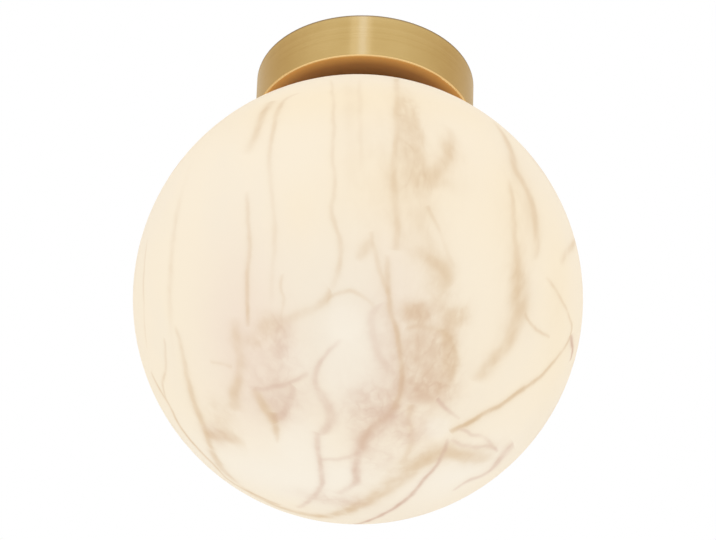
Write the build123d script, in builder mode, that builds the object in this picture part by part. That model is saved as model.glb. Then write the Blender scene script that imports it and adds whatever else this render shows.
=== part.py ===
from build123d import *
from math import cos, radians, sin, sqrt, tan
import os

# Flush ceiling light with a screw-neck opal globe, in millimetres.
# The origin is on the ceiling plane at the middle of the mounting plate, and +Z points up
# into the ceiling, so everything hangs below zero.

# Globe
globe_diameter = 250.0
glass_wall = 2.5
neck_diameter = 80.0
neck_lip_length = 2.5
shoulder_gap = 2.17
shoulder_fillet = 1.5
lip_fillet = 1.0

# Helical bead on the neck, and the lugs that carry it
bead_height = 4.0
bead_pitch = 8.0
bead_turns = 1.25
bead_start_rise = 4.4
lug_count = 3
lug_first_angle = 20.0
lug_width = 10.0
lug_height = 2.5
lug_clearance = 0.3
lug_neck_gap = 0.6

# Canopy
canopy_height = 29.5
canopy_wall = 1.2
canopy_rim_fillet = 1.1

# Gallery ring and its locknut
gallery_neck_clearance = 0.5
gallery_wall = 2.5
gallery_flange_width = 1.5
gallery_flange_thickness = 1.5
gallery_skirt_length = 2.4
gallery_top_rise = 1.0
hole_clearance = 0.2
locknut_width = 7.0
locknut_thickness = 3.0
locknut_notches = 4
locknut_notch_width = 5.0
locknut_notch_share = 0.35
locknut_first_notch = 45.0

# Mounting plate
plate_thickness = 2.0
plate_disc_diameter = 88.0
bar_width = 22.0
bar_side_gap = 1.4
leg_drop = 11.0
bend_radius = 3.0
ceiling_slot_spacing = 88.9
ceiling_slot_length = 14.0
ceiling_slot_width = 5.2
dish_diameter = 34.0
dish_depth = 2.4
dish_wall_slant = 1.2

# Grub screws through the canopy's side into the plate's legs
grub_diameter = 4.0
grub_length = 5.6
grub_drop = 5.0
grub_socket = 2.0
grub_socket_depth = 2.2
grub_inset = 0.2
thread_clearance = 0.05

# Cable entry
cable_x = 25.0
cable_y = 25.0
grommet_bore = 8.0
grommet_wall = 1.6
grommet_flange_diameter = 16.0
grommet_flange_thickness = 2.0

# Bridge that carries the lampholder across the canopy
bridge_thickness = 1.5
bridge_width = 20.0
bridge_leg_gap = 2.9
bridge_nut_gap = 1.0
bridge_foot_edge = 1.5
bridge_top_drop = 8.5
bridge_bend = 3.0

# Lampholder
holder_diameter = 39.0
holder_length = 46.0
holder_neck_diameter = 32.0
holder_neck_length = 12.0
holder_wall = 4.2
holder_collar_entry = 0.1
holder_edge_fillet = 1.5
holder_screw_spacing = 19.0
holder_screw_diameter = 4.0
holder_screw_head = 7.6
holder_screw_head_height = 2.4
holder_screw_depth = 8.0
holder_screw_end_gap = 1.0
shell_gap = 0.2
shell_wall = 1.2
shell_length = 24.0
shell_mouth_gap = 1.0
contact_thickness = 0.6
contact_width = 6.0
contact_end_gap = 5.0

# Lamp with a screw cap
cap_diameter = 26.2
cap_length = 21.0
cap_wall = 0.5
lamp_tip_diameter = 9.0
lamp_tip_height = 1.6
lamp_insulator_height = 3.4
lamp_collar_length = 35.0
lamp_bulb_diameter = 60.0
lamp_bulb_length = 47.0
lamp_wall = 1.4
board_thickness = 1.6
driver_width = 16.0
driver_length = 26.0
driver_thickness = 7.0

# Terminal block
block_pitch = 8.0
block_ways = 3
block_depth = 17.0
block_height = 12.0
block_first_y = 21.5
block_sleeve_diameter = 4.6
block_sleeve_wall = 0.9
block_sleeve_inset = 0.5
block_screw_diameter = 2.6
block_screw_spacing = 8.0
block_screw_inset = 0.8
block_fillet = 0.8
block_well_clearance = 0.3
fixing_diameter = 2.2
fixing_head_diameter = 3.0
fixing_head_height = 1.4
fixing_recess = 0.6

# Earth point and leads
earth_x = -34.0
earth_y = 22.0
earth_screw_diameter = 4.0
earth_head_diameter = 7.0
earth_head_height = 2.4
tag_thickness = 0.8
tag_ring_diameter = 8.0
tag_barrel_diameter = 3.6
tag_barrel_length = 6.0
lead_diameter = 2.2
lead_clearance = 0.3
lead_tail = 4.0
lead_entry_y = 6.0
lead_entry_run_out = 2.0
live_run_out = 9.0
live_side = 15.0
live_reach = 18.0
live_step = 4.5
live_run_in = 8.0
live_fall_shares = (0.3, 0.85)
neutral_run_out = 12.0
neutral_side = 21.5
neutral_reach = 24.3
neutral_step = 9.0
neutral_turn = 2.0
neutral_run_in = 9.5
neutral_sag = 0.5
neutral_fall_shares = (0.2, 0.75)
earth_run_out = 5.0
earth_run_in = 3.5

# Gasket under the gallery
gasket_width = 4.0
seat_gap = 0.3

# Sizes that follow from the ones above. The canopy is built up from the neck outwards, over
# the gallery, its locknut, the bridge and the plate's legs, and comes to 124 mm across.
globe_radius = globe_diameter / 2
neck_radius = neck_diameter / 2
neck_bore_radius = neck_radius - glass_wall
bead_reach = neck_radius + bead_height / 2
gallery_bore_radius = bead_reach + gallery_neck_clearance
gallery_radius = gallery_bore_radius + gallery_wall
gallery_skirt_drop = canopy_height + gallery_flange_thickness + gallery_skirt_length
bead_start_drop = gallery_skirt_drop - bead_start_rise
neck_top = -bead_start_drop + bead_pitch * bead_turns + neck_lip_length
gallery_top = neck_top + gallery_top_rise
canopy_hole_radius = gallery_radius + hole_clearance
canopy_floor = -canopy_height + canopy_wall
locknut_diameter = 2 * (gallery_radius + locknut_width)
locknut_notch_depth = locknut_notch_share * locknut_width
bridge_span = locknut_diameter + 2 * (bridge_nut_gap + bridge_thickness)
bridge_foot_diameter = bridge_span + 2 * bridge_foot_edge
bar_length = bridge_span + 2 * (bridge_leg_gap + plate_thickness)
canopy_bore_radius = bar_length / 2 + bar_side_gap
canopy_diameter = 2 * (canopy_bore_radius + canopy_wall)
bridge_foot_top = canopy_floor + bridge_thickness
holder_top = -bridge_top_drop - bridge_thickness
holder_bottom = holder_top - holder_length
holder_bore_depth = (
    contact_thickness + seat_gap + lamp_tip_height + lamp_insulator_height + cap_length
    + holder_collar_entry
)
holder_floor = holder_bottom + holder_bore_depth
holder_bore_radius = holder_diameter / 2 - holder_wall
shell_radius = holder_bore_radius - shell_gap
lamp_top = holder_floor - contact_thickness - seat_gap
block_middle = -plate_thickness - block_height / 2
block_width = block_pitch * block_ways
block_middle_y = block_first_y + block_pitch * (block_ways - 1) / 2
gasket_top = -gallery_skirt_drop - seat_gap


def sphere_height(radius, distance):
    """Height above its centre of a sphere's surface, a distance out from the axis."""
    return sqrt(radius**2 - distance**2)


shoulder_height = -gallery_skirt_drop - shoulder_gap
globe_centre = shoulder_height - sphere_height(globe_radius, neck_radius)

# Mounting plate, a pressed disc with two ears whose ends turn down
with BuildPart() as mounting_plate:
    with BuildSketch(Plane.XY.offset(-plate_thickness)):
        Circle(plate_disc_diameter / 2)
        Rectangle(bar_length, bar_width)
    extrude(amount=plate_thickness)
    with BuildSketch(Plane.XY.offset(-leg_drop)):
        with GridLocations(bar_length - plate_thickness, 0, 2, 1):
            Rectangle(plate_thickness, bar_width)
    extrude(amount=leg_drop)
    ear_ends = mounting_plate.edges().filter_by(Axis.Y).filter_by_position(
        Axis.Z, -0.01, 0.01
    )
    fillet(ear_ends, radius=bend_radius)
    ear_corners = mounting_plate.edges().filter_by(Axis.Y).filter_by_position(
        Axis.Z, -plate_thickness - 0.01, -plate_thickness + 0.01
    )
    fillet(ear_corners, radius=bend_radius - plate_thickness)
    with BuildSketch():
        with GridLocations(ceiling_slot_spacing, 0, 2, 1):
            SlotOverall(ceiling_slot_length, ceiling_slot_width)
        with Locations((cable_x, cable_y)):
            Circle(grommet_bore / 2 + grommet_wall)
        with Locations((earth_x, earth_y)):
            Circle(earth_screw_diameter / 2 + thread_clearance)
        with Locations((0, block_middle_y)):
            with GridLocations(0, block_pitch, 1, block_ways - 1):
                Circle(fixing_diameter / 2 + thread_clearance)
    extrude(amount=-plate_thickness, mode=Mode.SUBTRACT)
    with Locations((0, 0, -grub_drop)):
        Cylinder(
            grub_diameter / 2 + thread_clearance,
            bar_length + plate_thickness,
            rotation=(0, 90, 0),
            mode=Mode.SUBTRACT,
        )
    # round dish pressed down in the middle, which stiffens the disc
    dish_radius = dish_diameter / 2
    with Locations((0, 0, -plate_thickness)):
        Cone(
            dish_radius - dish_depth,
            dish_radius,
            dish_depth,
            align=(Align.CENTER, Align.CENTER, Align.MAX),
        )
    with Locations((0, 0, 0)):
        Cone(
            dish_radius - dish_depth - dish_wall_slant,
            dish_radius - dish_wall_slant,
            dish_depth,
            align=(Align.CENTER, Align.CENTER, Align.MAX),
            mode=Mode.SUBTRACT,
        )
mounting_plate.part.label = "mounting_plate"

# Rubber grommet in the plate's cable hole
with BuildPart() as cable_grommet:
    with Locations((cable_x, cable_y, 0)):
        Cylinder(
            grommet_bore / 2 + grommet_wall,
            plate_thickness,
            align=(Align.CENTER, Align.CENTER, Align.MAX),
        )
    with Locations((cable_x, cable_y, -plate_thickness)):
        Cylinder(
            grommet_flange_diameter / 2,
            grommet_flange_thickness,
            align=(Align.CENTER, Align.CENTER, Align.MAX),
        )
    fillet(
        cable_grommet.faces().sort_by(Axis.Z)[0].outer_wire().edges(),
        radius=grommet_flange_thickness / 2,
    )
    with Locations((cable_x, cable_y, 0)):
        Hole(grommet_bore / 2)
cable_grommet.part.label = "cable_grommet"

# Spun brass canopy, an open cup with a hole for the gallery in its floor
with BuildPart() as canopy:
    with BuildSketch(Plane.XY.offset(-canopy_height)):
        Circle(canopy_diameter / 2)
    extrude(amount=canopy_height)
    fillet(
        canopy.faces().sort_by(Axis.Z)[0].edges(),
        radius=canopy_rim_fillet,
    )
    with BuildSketch(Plane.XY.offset(canopy_floor)):
        Circle(canopy_bore_radius)
    extrude(amount=canopy_height, mode=Mode.SUBTRACT)
    fillet(
        canopy.faces().filter_by(Axis.Z).sort_by(Axis.Z)[1].outer_wire().edges(),
        radius=canopy_rim_fillet / 2,
    )
    with BuildSketch(Plane.XY.offset(-canopy_height)):
        Circle(canopy_hole_radius)
    extrude(amount=canopy_wall, mode=Mode.SUBTRACT)
    with Locations((0, 0, -grub_drop)):
        Cylinder(
            grub_diameter / 2 + thread_clearance,
            canopy_diameter + canopy_wall,
            rotation=(0, 90, 0),
            mode=Mode.SUBTRACT,
        )
canopy.part.label = "canopy"

# The two flush grub screws that hold the canopy to the plate
grub_outer = canopy_diameter / 2 - grub_inset
with BuildPart() as canopy_screws:
    for side in (1, -1):
        with Locations((side * (grub_outer - grub_length / 2), 0, -grub_drop)):
            Cylinder(grub_diameter / 2, grub_length, rotation=(0, 90, 0))
        with BuildSketch(Plane(origin=(side * grub_outer, 0, -grub_drop), z_dir=(side, 0, 0))):
            RegularPolygon(grub_socket / 2, 6)
        extrude(amount=-grub_socket_depth, mode=Mode.SUBTRACT)
canopy_screws.part.label = "canopy_screws"

# Gallery ring: a flange under the canopy, a sleeve up through its floor and inward lugs
# set on the bead's helix
lug_inner_radius = neck_radius + lug_neck_gap
lug_depth = gallery_bore_radius + gallery_wall / 2 - lug_inner_radius
bead_half_at_lug = sqrt((bead_height / 2) ** 2 - lug_neck_gap**2)
lug_below_bead = bead_half_at_lug + lug_clearance + lug_height / 2
with BuildPart() as gallery_ring:
    with BuildSketch(Plane.XY.offset(-gallery_skirt_drop)):
        Circle(gallery_radius)
        Circle(gallery_bore_radius, mode=Mode.SUBTRACT)
    extrude(amount=gallery_skirt_drop + gallery_top)
    with BuildSketch(Plane.XY.offset(-canopy_height - gallery_flange_thickness)):
        Circle(gallery_radius + gallery_flange_width)
        Circle(gallery_bore_radius, mode=Mode.SUBTRACT)
    extrude(amount=gallery_flange_thickness)
    for lug in range(lug_count):
        lug_angle = lug_first_angle + lug * 360 / lug_count
        lug_height_here = -bead_start_drop + bead_pitch * lug_angle / 360 - lug_below_bead
        lug_middle = lug_inner_radius + lug_depth / 2
        with PolarLocations(lug_middle, 1, start_angle=lug_angle):
            with Locations((0, 0, lug_height_here)):
                Box(lug_depth, lug_width, lug_height)
gallery_ring.part.label = "gallery_ring"

# Round locknut that clamps the gallery ring and the bridge's foot to the canopy
with BuildPart() as gallery_locknut:
    with BuildSketch(Plane.XY.offset(bridge_foot_top)):
        Circle(locknut_diameter / 2)
        Circle(gallery_radius + thread_clearance, mode=Mode.SUBTRACT)
        with PolarLocations(locknut_diameter / 2, locknut_notches, start_angle=locknut_first_notch):
            Rectangle(2 * locknut_notch_depth, locknut_notch_width, mode=Mode.SUBTRACT)
    extrude(amount=locknut_thickness)
gallery_locknut.part.label = "gallery_locknut"

# Bridge: a hoop over the neck on a ring foot
bridge_rise = -bridge_top_drop - bridge_foot_top
with BuildPart() as holder_bridge:
    with BuildSketch(Plane.XZ):
        with Locations((0, bridge_foot_top)):
            Rectangle(bridge_span, bridge_rise, align=(Align.CENTER, Align.MIN))
            Rectangle(
                bridge_span - 2 * bridge_thickness,
                bridge_rise - bridge_thickness,
                align=(Align.CENTER, Align.MIN),
                mode=Mode.SUBTRACT,
            )
    extrude(amount=bridge_width / 2, both=True)
    hoop_top = holder_bridge.faces().filter_by(Axis.Z).sort_by(Axis.Z)[-1]
    fillet(hoop_top.edges().filter_by(Axis.Y), radius=bridge_bend)
    hoop_inside = holder_bridge.edges().filter_by(Axis.Y).filter_by_position(
        Axis.Z, holder_top - 0.01, holder_top + 0.01
    )
    fillet(hoop_inside, radius=bridge_bend - bridge_thickness)
    with BuildSketch(Plane.XY.offset(canopy_floor)):
        Circle(bridge_foot_diameter / 2)
        Circle(canopy_hole_radius, mode=Mode.SUBTRACT)
    extrude(amount=bridge_thickness)
    with Locations((0, 0, -bridge_top_drop)):
        with GridLocations(holder_screw_spacing, 0, 2, 1):
            Hole(holder_screw_diameter / 2 + thread_clearance, depth=bridge_thickness)
holder_bridge.part.label = "holder_bridge"

# Porcelain lampholder, stepped outside, with a blind bore for the shell
lead_entry_drop = -holder_top + holder_neck_length / 2
with BuildPart() as lampholder_body:
    with BuildSketch(Plane.XY.offset(holder_top)):
        Circle(holder_neck_diameter / 2)
    extrude(amount=-holder_neck_length)
    with BuildSketch(Plane.XY.offset(holder_top - holder_neck_length)):
        Circle(holder_diameter / 2)
    extrude(amount=-(holder_length - holder_neck_length))
    step_edges = lampholder_body.edges().filter_by(GeomType.CIRCLE)
    fillet(
        [edge for edge in step_edges if abs(edge.radius - holder_diameter / 2) < 0.01],
        radius=holder_edge_fillet,
    )
    with BuildSketch(Plane.XY.offset(holder_bottom)):
        Circle(holder_bore_radius)
    extrude(amount=holder_floor - holder_bottom, mode=Mode.SUBTRACT)
    with Locations((0, 0, holder_top)):
        with GridLocations(holder_screw_spacing, 0, 2, 1):
            Hole(holder_screw_diameter / 2 + thread_clearance, depth=holder_screw_depth)
    for entry_y in (lead_entry_y, -lead_entry_y):
        entry_x = -sqrt((holder_neck_diameter / 2) ** 2 - lead_entry_y**2)
        entry_start = (entry_x - lead_entry_run_out, entry_y, -lead_entry_drop)
        with BuildSketch(Plane(origin=entry_start, z_dir=(1, 0, 0))):
            Circle(lead_diameter / 2 + lead_clearance)
        extrude(amount=lead_entry_run_out + lead_tail, mode=Mode.SUBTRACT)
lampholder_body.part.label = "lampholder_body"

# Threaded brass shell inside the lampholder
with BuildPart() as lampholder_shell:
    with BuildSketch(Plane.XY.offset(holder_bottom + shell_mouth_gap)):
        Circle(shell_radius)
        Circle(shell_radius - shell_wall, mode=Mode.SUBTRACT)
    extrude(amount=shell_length)
lampholder_shell.part.label = "lampholder_shell"

# Sprung centre contact on the bore's floor
contact_length = 2 * (holder_bore_radius - contact_end_gap)
with BuildPart() as centre_contact:
    with BuildSketch(Plane.XY.offset(holder_floor)):
        SlotOverall(contact_length, contact_width)
    extrude(amount=-contact_thickness)
centre_contact.part.label = "centre_contact"

# Two screws that hold the lampholder to the bridge
with BuildPart() as holder_screws:
    with Locations((0, 0, -bridge_top_drop)):
        with GridLocations(holder_screw_spacing, 0, 2, 1):
            Cylinder(
                holder_screw_head / 2,
                holder_screw_head_height,
                align=(Align.CENTER, Align.CENTER, Align.MIN),
            )
            Cylinder(
                holder_screw_diameter / 2,
                bridge_thickness + holder_screw_depth - holder_screw_end_gap,
                align=(Align.CENTER, Align.CENTER, Align.MAX),
            )
    fillet(
        holder_screws.faces().filter_by(Axis.Z).group_by(Axis.Z)[-1].edges(),
        radius=holder_screw_head_height / 3,
    )
holder_screws.part.label = "holder_screws"

# Terminal block under the plate, with a sleeve and two screws for each way
sleeve_length = block_depth - 2 * block_sleeve_inset
well_top = block_middle - block_sleeve_diameter / 2
with BuildPart() as terminal_block:
    with Locations((0, block_middle_y, -plate_thickness)):
        Box(
            block_depth,
            block_width,
            block_height,
            align=(Align.CENTER, Align.CENTER, Align.MAX),
        )
    fillet(terminal_block.edges().filter_by(Axis.Z), radius=block_fillet)
    with Locations((0, block_middle_y, block_middle)):
        with GridLocations(0, block_pitch, 1, block_ways):
            Cylinder(
                block_sleeve_diameter / 2 + thread_clearance,
                block_depth,
                rotation=(0, 90, 0),
                mode=Mode.SUBTRACT,
            )
    with BuildSketch(Plane.XY.offset(-plate_thickness - block_height)):
        with Locations((0, block_middle_y)):
            with GridLocations(block_screw_spacing, block_pitch, 2, block_ways):
                Circle(block_screw_diameter / 2 + block_well_clearance)
    extrude(amount=block_height / 2, mode=Mode.SUBTRACT)
    with Locations((0, block_middle_y, -plate_thickness)):
        with GridLocations(0, block_pitch, 1, block_ways - 1):
            Hole(fixing_diameter / 2 + thread_clearance, depth=block_height)
    with Locations((0, block_middle_y, -plate_thickness - block_height)):
        with GridLocations(0, block_pitch, 1, block_ways - 1):
            Cylinder(
                fixing_head_diameter / 2 + thread_clearance,
                fixing_recess + fixing_head_height,
                align=(Align.CENTER, Align.CENTER, Align.MIN),
                mode=Mode.SUBTRACT,
            )
terminal_block.part.label = "terminal_block"

with BuildPart() as terminal_sleeves:
    with Locations((0, block_middle_y, block_middle)):
        with GridLocations(0, block_pitch, 1, block_ways):
            Cylinder(block_sleeve_diameter / 2, sleeve_length, rotation=(0, 90, 0))
            Cylinder(
                block_sleeve_diameter / 2 - block_sleeve_wall,
                sleeve_length,
                rotation=(0, 90, 0),
                mode=Mode.SUBTRACT,
            )
terminal_sleeves.part.label = "terminal_sleeves"

terminal_screw_bottom = -plate_thickness - block_height + block_screw_inset
with BuildPart() as terminal_screws:
    with BuildSketch(Plane.XY.offset(terminal_screw_bottom)):
        with Locations((0, block_middle_y)):
            with GridLocations(block_screw_spacing, block_pitch, 2, block_ways):
                Circle(block_screw_diameter / 2)
    extrude(amount=well_top - terminal_screw_bottom - thread_clearance)
terminal_screws.part.label = "terminal_screws"

# Screws down through the block, between its ways, that hold it to the plate
with BuildPart() as block_screws:
    with Locations((0, block_middle_y, 0)):
        with GridLocations(0, block_pitch, 1, block_ways - 1):
            Cylinder(
                fixing_diameter / 2,
                plate_thickness + block_height - fixing_recess,
                align=(Align.CENTER, Align.CENTER, Align.MAX),
            )
    with Locations((0, block_middle_y, -plate_thickness - block_height + fixing_recess)):
        with GridLocations(0, block_pitch, 1, block_ways - 1):
            Cylinder(
                fixing_head_diameter / 2,
                fixing_head_height,
                align=(Align.CENTER, Align.CENTER, Align.MIN),
            )
block_screws.part.label = "block_screws"

# Earth screw up into the plate, over a crimped ring tag
tag_top = -plate_thickness
tag_turn = 35.0
with BuildPart() as earth_screw:
    with Locations((earth_x, earth_y, tag_top - tag_thickness)):
        Cylinder(
            earth_head_diameter / 2,
            earth_head_height,
            align=(Align.CENTER, Align.CENTER, Align.MAX),
        )
        Cylinder(
            earth_screw_diameter / 2,
            tag_thickness + plate_thickness,
            align=(Align.CENTER, Align.CENTER, Align.MIN),
        )
    fillet(
        earth_screw.faces().filter_by(Axis.Z).sort_by(Axis.Z)[0].edges(),
        radius=earth_head_height / 3,
    )
earth_screw.part.label = "earth_screw"

barrel_reach = tag_ring_diameter / 2 + tag_barrel_length
barrel_drop = tag_top - tag_barrel_diameter / 2
with BuildPart() as earth_tag:
    with BuildSketch(Plane.XY.offset(tag_top - tag_thickness)):
        with Locations(Location((earth_x, earth_y, 0), (0, 0, tag_turn))):
            Circle(tag_ring_diameter / 2)
            Rectangle(barrel_reach, tag_barrel_diameter, align=(Align.MIN, Align.CENTER))
            Circle(earth_screw_diameter / 2 + thread_clearance, mode=Mode.SUBTRACT)
    extrude(amount=tag_thickness)
    tag_direction = (cos(radians(tag_turn)), sin(radians(tag_turn)), 0)
    barrel_start = (
        earth_x + tag_direction[0] * tag_ring_diameter / 2,
        earth_y + tag_direction[1] * tag_ring_diameter / 2,
        barrel_drop,
    )
    with BuildSketch(Plane(origin=barrel_start, z_dir=tag_direction)):
        Circle(tag_barrel_diameter / 2)
    extrude(amount=tag_barrel_length)
    with BuildSketch(Plane(origin=barrel_start, z_dir=tag_direction)):
        Circle(lead_diameter / 2 + thread_clearance)
    extrude(amount=tag_barrel_length, mode=Mode.SUBTRACT)
earth_tag.part.label = "earth_tag"


# Leads, each a round tube on straight runs joined by tangent arcs
def bend_radii(points):
    """Arc radius at each corner, as large as the two runs beside it allow."""
    radii = []
    for before, corner, after in zip(points, points[1:], points[2:]):
        run_in = Vector(corner) - Vector(before)
        run_out = Vector(after) - Vector(corner)
        half_turn = radians(run_in.get_angle(run_out)) / 2
        radii.append(0.45 * min(run_in.length, run_out.length) / tan(half_turn))
    return radii


def make_lead(name, points):
    """One insulated lead that follows its corner points."""
    with BuildPart() as lead:
        with BuildLine() as route:
            FilletPolyline(*points, radius=bend_radii(points))
        start_direction = Vector(points[1]) - Vector(points[0])
        with BuildSketch(Plane(origin=points[0], z_dir=start_direction)):
            Circle(lead_diameter / 2)
        sweep(path=route.line)
    lead.part.label = name
    return lead.part


way_y = [block_first_y + block_pitch * way for way in range(block_ways)]
block_face = -block_depth / 2
entry_end = entry_x + lead_tail - lead_clearance
lead_fall = block_middle + lead_entry_drop
live_falls = [block_middle - lead_fall * share for share in live_fall_shares]
neutral_falls = [block_middle - lead_fall * share for share in neutral_fall_shares]
live_lead = make_lead(
    "live_lead",
    [
        (block_face + lead_tail, way_y[0], block_middle),
        (block_face - live_run_out, way_y[0], block_middle),
        (block_face - live_side, way_y[0] - live_step, live_falls[0]),
        (block_face - live_reach, lead_entry_y + live_step, live_falls[1]),
        (entry_x - live_run_in, lead_entry_y, -lead_entry_drop),
        (entry_end, lead_entry_y, -lead_entry_drop),
    ],
)
neutral_lead = make_lead(
    "neutral_lead",
    [
        (block_face + lead_tail, way_y[1], block_middle),
        (block_face - neutral_run_out, way_y[1], block_middle),
        (block_face - neutral_side, way_y[1] - neutral_step, neutral_falls[0]),
        (block_face - neutral_reach, lead_entry_y + neutral_turn, neutral_falls[1]),
        (block_face - neutral_side, -lead_entry_y / 2, -lead_entry_drop - neutral_sag),
        (entry_x - neutral_run_in, -lead_entry_y, -lead_entry_drop),
        (entry_end, -lead_entry_y, -lead_entry_drop),
    ],
)
barrel_mouth = Vector(*barrel_start) + Vector(*tag_direction) * tag_barrel_length
earth_end = barrel_mouth - Vector(*tag_direction) * lead_tail
earth_lead = make_lead(
    "earth_lead",
    [
        (block_face + lead_tail, way_y[2], block_middle),
        (block_face - earth_run_out, way_y[2], block_middle),
        tuple(barrel_mouth + Vector(*tag_direction) * earth_run_in),
        tuple(earth_end),
    ],
)

# Opal glass globe with its neck and the helical bead
inner_radius = globe_radius - glass_wall
inner_shoulder_height = globe_centre + sphere_height(inner_radius, neck_bore_radius)
globe_bottom = globe_centre - globe_radius
with BuildPart() as globe_glass:
    with BuildSketch(Plane.XZ):
        with BuildLine():
            ThreePointArc(
                (neck_radius, shoulder_height),
                (globe_radius, globe_centre),
                (0, globe_bottom),
            )
            Line((0, globe_bottom), (0, globe_bottom + glass_wall))
            ThreePointArc(
                (0, globe_bottom + glass_wall),
                (inner_radius, globe_centre),
                (neck_bore_radius, inner_shoulder_height),
            )
            Polyline(
                (neck_bore_radius, inner_shoulder_height),
                (neck_bore_radius, neck_top),
                (neck_radius, neck_top),
                (neck_radius, shoulder_height),
            )
        make_face()
    revolve(axis=Axis.Z)
    shoulder_edges = [
        edge
        for edge in globe_glass.edges().filter_by(GeomType.CIRCLE)
        if abs(edge.radius - neck_radius) < 0.01 and abs(edge.center().Z - shoulder_height) < 0.01
    ]
    fillet(shoulder_edges, radius=shoulder_fillet)
    lip_edges = globe_glass.edges().filter_by(GeomType.CIRCLE).group_by(Axis.Z)[-1]
    fillet(lip_edges, radius=lip_fillet)
    with BuildLine() as bead_route:
        Helix(
            pitch=bead_pitch,
            height=bead_pitch * bead_turns,
            radius=neck_radius,
            center=(0, 0, -bead_start_drop),
        )
    with BuildSketch(Plane(origin=bead_route.line @ 0, z_dir=bead_route.line % 0)):
        Circle(bead_height / 2)
    sweep(path=bead_route.line, is_frenet=True)
globe_glass.part.label = "globe_glass"

# Gasket on the glass shoulder, its underside concentric with the globe
gasket_inner = neck_radius + shoulder_fillet + seat_gap
gasket_outer = gasket_inner + gasket_width
gasket_seat = globe_radius + seat_gap
with BuildPart() as gasket:
    with BuildSketch(Plane.XZ):
        with BuildLine():
            underside = [
                (radius, globe_centre + sphere_height(gasket_seat, radius))
                for radius in (gasket_inner, gasket_inner + gasket_width / 2, gasket_outer)
            ]
            ThreePointArc(*underside)
            Polyline(
                underside[-1],
                (gasket_outer, gasket_top),
                (gasket_inner, gasket_top),
                underside[0],
            )
        make_face()
    revolve(axis=Axis.Z)
gasket.part.label = "gasket"

# Lamp: contact tip, insulator, cap, collar, board, driver and diffuser
cap_radius = cap_diameter / 2
insulator_top = lamp_top - lamp_tip_height
cap_top = insulator_top - lamp_insulator_height
cap_bottom = cap_top - cap_length
collar_bottom = cap_bottom - lamp_collar_length
bulb_radius = lamp_bulb_diameter / 2
lamp_bottom = collar_bottom - lamp_bulb_length
with BuildPart() as lamp_tip:
    with BuildSketch(Plane.XY.offset(insulator_top)):
        Circle(lamp_tip_diameter / 2)
    extrude(amount=lamp_tip_height)
    fillet(lamp_tip.faces().sort_by(Axis.Z)[-1].edges(), radius=lamp_tip_height / 2)
lamp_tip.part.label = "lamp_tip"

with BuildPart() as cap_insulator:
    with BuildSketch(Plane.XY.offset(cap_top)):
        Circle(cap_radius - cap_wall)
    with BuildSketch(Plane.XY.offset(insulator_top)):
        Circle(lamp_tip_diameter / 2 + cap_wall)
    loft(ruled=True)
cap_insulator.part.label = "cap_insulator"

with BuildPart() as lamp_cap:
    with BuildSketch(Plane.XY.offset(cap_bottom)):
        Circle(cap_radius)
        Circle(cap_radius - cap_wall, mode=Mode.SUBTRACT)
    extrude(amount=cap_length)
lamp_cap.part.label = "lamp_cap"

collar_top_radius = cap_radius + lamp_wall
with BuildPart() as lamp_collar:
    with BuildSketch(Plane.XZ):
        with BuildLine():
            Polyline(
                (collar_top_radius - lamp_wall, cap_bottom),
                (collar_top_radius, cap_bottom),
            )
            Spline(
                (collar_top_radius, cap_bottom),
                (bulb_radius, collar_bottom),
                tangents=((0.2, -1), (0, -1)),
            )
            Line((bulb_radius, collar_bottom), (bulb_radius - lamp_wall, collar_bottom))
            Spline(
                (bulb_radius - lamp_wall, collar_bottom),
                (collar_top_radius - lamp_wall, cap_bottom),
                tangents=((0, 1), (-0.2, 1)),
            )
        make_face()
    revolve(axis=Axis.Z)
lamp_collar.part.label = "lamp_collar"

with BuildPart() as led_board:
    with BuildSketch(Plane.XY.offset(collar_bottom + board_thickness)):
        Circle(bulb_radius - lamp_wall - seat_gap)
    extrude(amount=board_thickness)
led_board.part.label = "led_board"

with BuildPart() as led_driver:
    with Locations((0, 0, collar_bottom + 2 * board_thickness)):
        Box(
            driver_width,
            driver_thickness,
            driver_length,
            align=(Align.CENTER, Align.CENTER, Align.MIN),
        )
led_driver.part.label = "led_driver"

bulb_straight = lamp_bulb_length - bulb_radius
bulb_centre = (0, collar_bottom - bulb_straight)
with BuildPart() as lamp_bulb:
    with BuildSketch(Plane.XZ):
        with BuildLine():
            Line((bulb_radius, collar_bottom), (bulb_radius, collar_bottom - bulb_straight))
            CenterArc(bulb_centre, bulb_radius, 0, -90)
            Line((0, lamp_bottom), (0, lamp_bottom + lamp_wall))
            CenterArc(bulb_centre, bulb_radius - lamp_wall, -90, 90)
            Polyline(
                (bulb_radius - lamp_wall, collar_bottom - bulb_straight),
                (bulb_radius - lamp_wall, collar_bottom),
                (bulb_radius, collar_bottom),
            )
        make_face()
    revolve(axis=Axis.Z)
lamp_bulb.part.label = "lamp_bulb"

pieces = [
    mounting_plate.part,
    cable_grommet.part,
    canopy.part,
    canopy_screws.part,
    gallery_ring.part,
    gallery_locknut.part,
    holder_bridge.part,
    lampholder_body.part,
    lampholder_shell.part,
    centre_contact.part,
    holder_screws.part,
    terminal_block.part,
    terminal_sleeves.part,
    terminal_screws.part,
    block_screws.part,
    earth_screw.part,
    earth_tag.part,
    live_lead,
    neutral_lead,
    earth_lead,
    gasket.part,
    globe_glass.part,
    lamp_tip.part,
    cap_insulator.part,
    lamp_cap.part,
    lamp_collar.part,
    led_board.part,
    led_driver.part,
    lamp_bulb.part,
]
os.makedirs("parts", exist_ok=True)
for piece in pieces:
    export_step(piece, f"parts/{piece.label}.step")
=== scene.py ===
# A flush ceiling light: a marble-patterned glass globe under a round brass canopy.
# Sizes are in metres, the ceiling plane is z = 0 and everything hangs below it.
import math

import bpy
from mathutils import Matrix, Vector


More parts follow.
